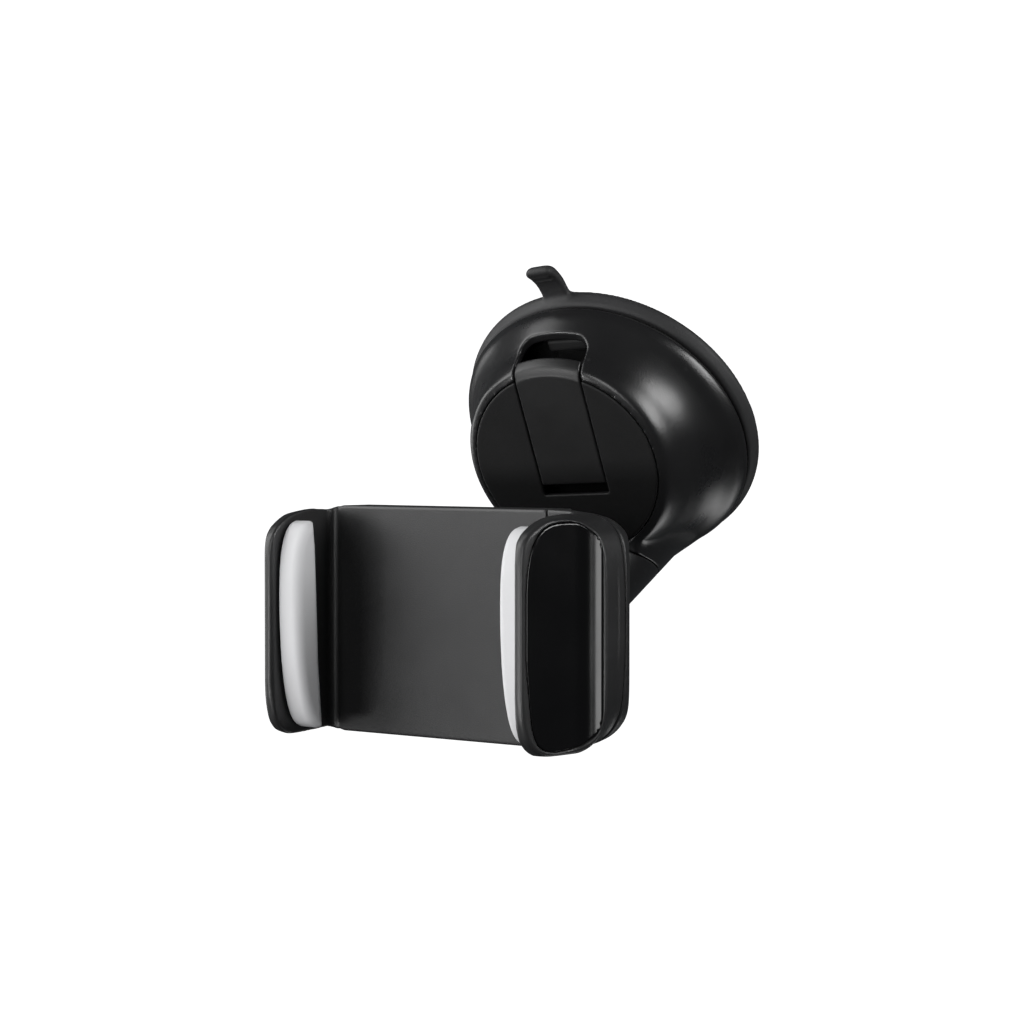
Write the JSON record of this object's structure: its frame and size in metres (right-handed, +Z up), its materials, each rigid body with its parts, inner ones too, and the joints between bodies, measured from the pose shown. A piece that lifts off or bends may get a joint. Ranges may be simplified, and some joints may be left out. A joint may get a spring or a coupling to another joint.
{
  "type": "car phone mount",
  "caption": "Suction-cup phone mount for a windscreen: lock lever, short arm with a ball joint, and a spring-loaded clamping cradle with soft jaw pads.",
  "frame": {"origin": "centre of the suction cup's face, on the glass", "axes": "+Z up, the phone faces -Y, +X towards the sliding jaw"},
  "size_m": [0.0857, 0.1049, 0.1069],
  "materials": {
    "shell": "satin moulded black ABS",
    "cradle": "satin moulded black ABS with a fine grain",
    "face": "matt black disc",
    "lever": "satin black",
    "gloss": "polished black",
    "inner": "plain moulded dark grey",
    "nylon": "natural nylon",
    "rubber": "soft black rubber",
    "pad": "grey silicone",
    "steel": "bright steel",
    "black_steel": "blackened steel"
  },
  "bodies": {
    "base": {"suction_cup": "rubber", "cup_ring": "inner", "base_housing": "shell", "face_plate": "face", "inner_frame": "inner", "lever_pin": "steel", "release_spring": "steel", "arm_tip": "shell", "arm_screw": "steel"},
    "lever": {"lock_lever": "lever"},
    "stem": {"cup_stem": "inner"},
    "collar": {"collar_nut": "shell"},
    "seat": {"ball_seat": "nylon"},
    "stud": {"ball_stud": "gloss", "stud_nut": "steel"},
    "cradle": {"front_shell": "cradle", "back_cover": "shell", "cover_screw_left_top": "black_steel", "cover_screw_left_bottom": "black_steel", "cover_screw_right_top": "black_steel", "cover_screw_right_bottom": "black_steel", "guide_rod_upper": "steel", "guide_rod_lower": "steel", "jaw_spring_upper": "steel", "jaw_spring_lower": "steel", "left_pad": "pad"},
    "jaw": {"slide_carriage": "inner", "jaw_shell": "cradle", "jaw_cap": "gloss", "right_pad": "pad", "jaw_back_cover": "shell", "jaw_screw_top": "black_steel", "jaw_screw_bottom": "black_steel"}
  },
  "joints": [
    {"name": "lever_lift", "type": "hinge", "parent": "base", "child": "lever", "pos_m": [0.00531, -0.02805, 0.00975], "axis": [-0.9788, -0.2002, -0.0427], "range_deg": [0, 50]},
    {"name": "stem_pull", "type": "slide", "parent": "base", "child": "stem", "axis": [-0.1875, 0.7933, 0.5793], "range_m": [0, 0.0025]},
    {"name": "collar_turn", "type": "hinge", "parent": "base", "child": "collar", "pos_m": [0.00896, -0.03314, -0.05011], "axis": [0.1875, -0.7933, -0.5793], "continuous": true},
    {"name": "ball_pan", "type": "hinge", "parent": "base", "child": "seat", "pos_m": [0.00896, -0.03314, -0.05011], "axis": [0, 0, 1], "range_deg": [-10, 25]},
    {"name": "ball_tilt", "type": "hinge", "parent": "seat", "child": "stud", "pos_m": [0.00896, -0.03314, -0.05011], "axis": [1, 0, 0], "range_deg": [-5, 30]},
    {"name": "cradle_swivel", "type": "hinge", "parent": "stud", "child": "cradle", "pos_m": [0.00896, -0.03314, -0.05011], "axis": [0, -1, 0], "continuous": true},
    {"name": "jaw_slide", "type": "slide", "parent": "cradle", "child": "jaw", "axis": [1, 0, 0], "range_m": [0, 0.022], "stiffness_N_per_m": 150, "springref_m": -0.03, "deforming": ["jaw_spring_upper", "jaw_spring_lower"]}
  ],
  "couplings": [
    {"joint": "stem_pull", "follows": "lever_lift", "m_per_rad": 0.0028}
  ]
}
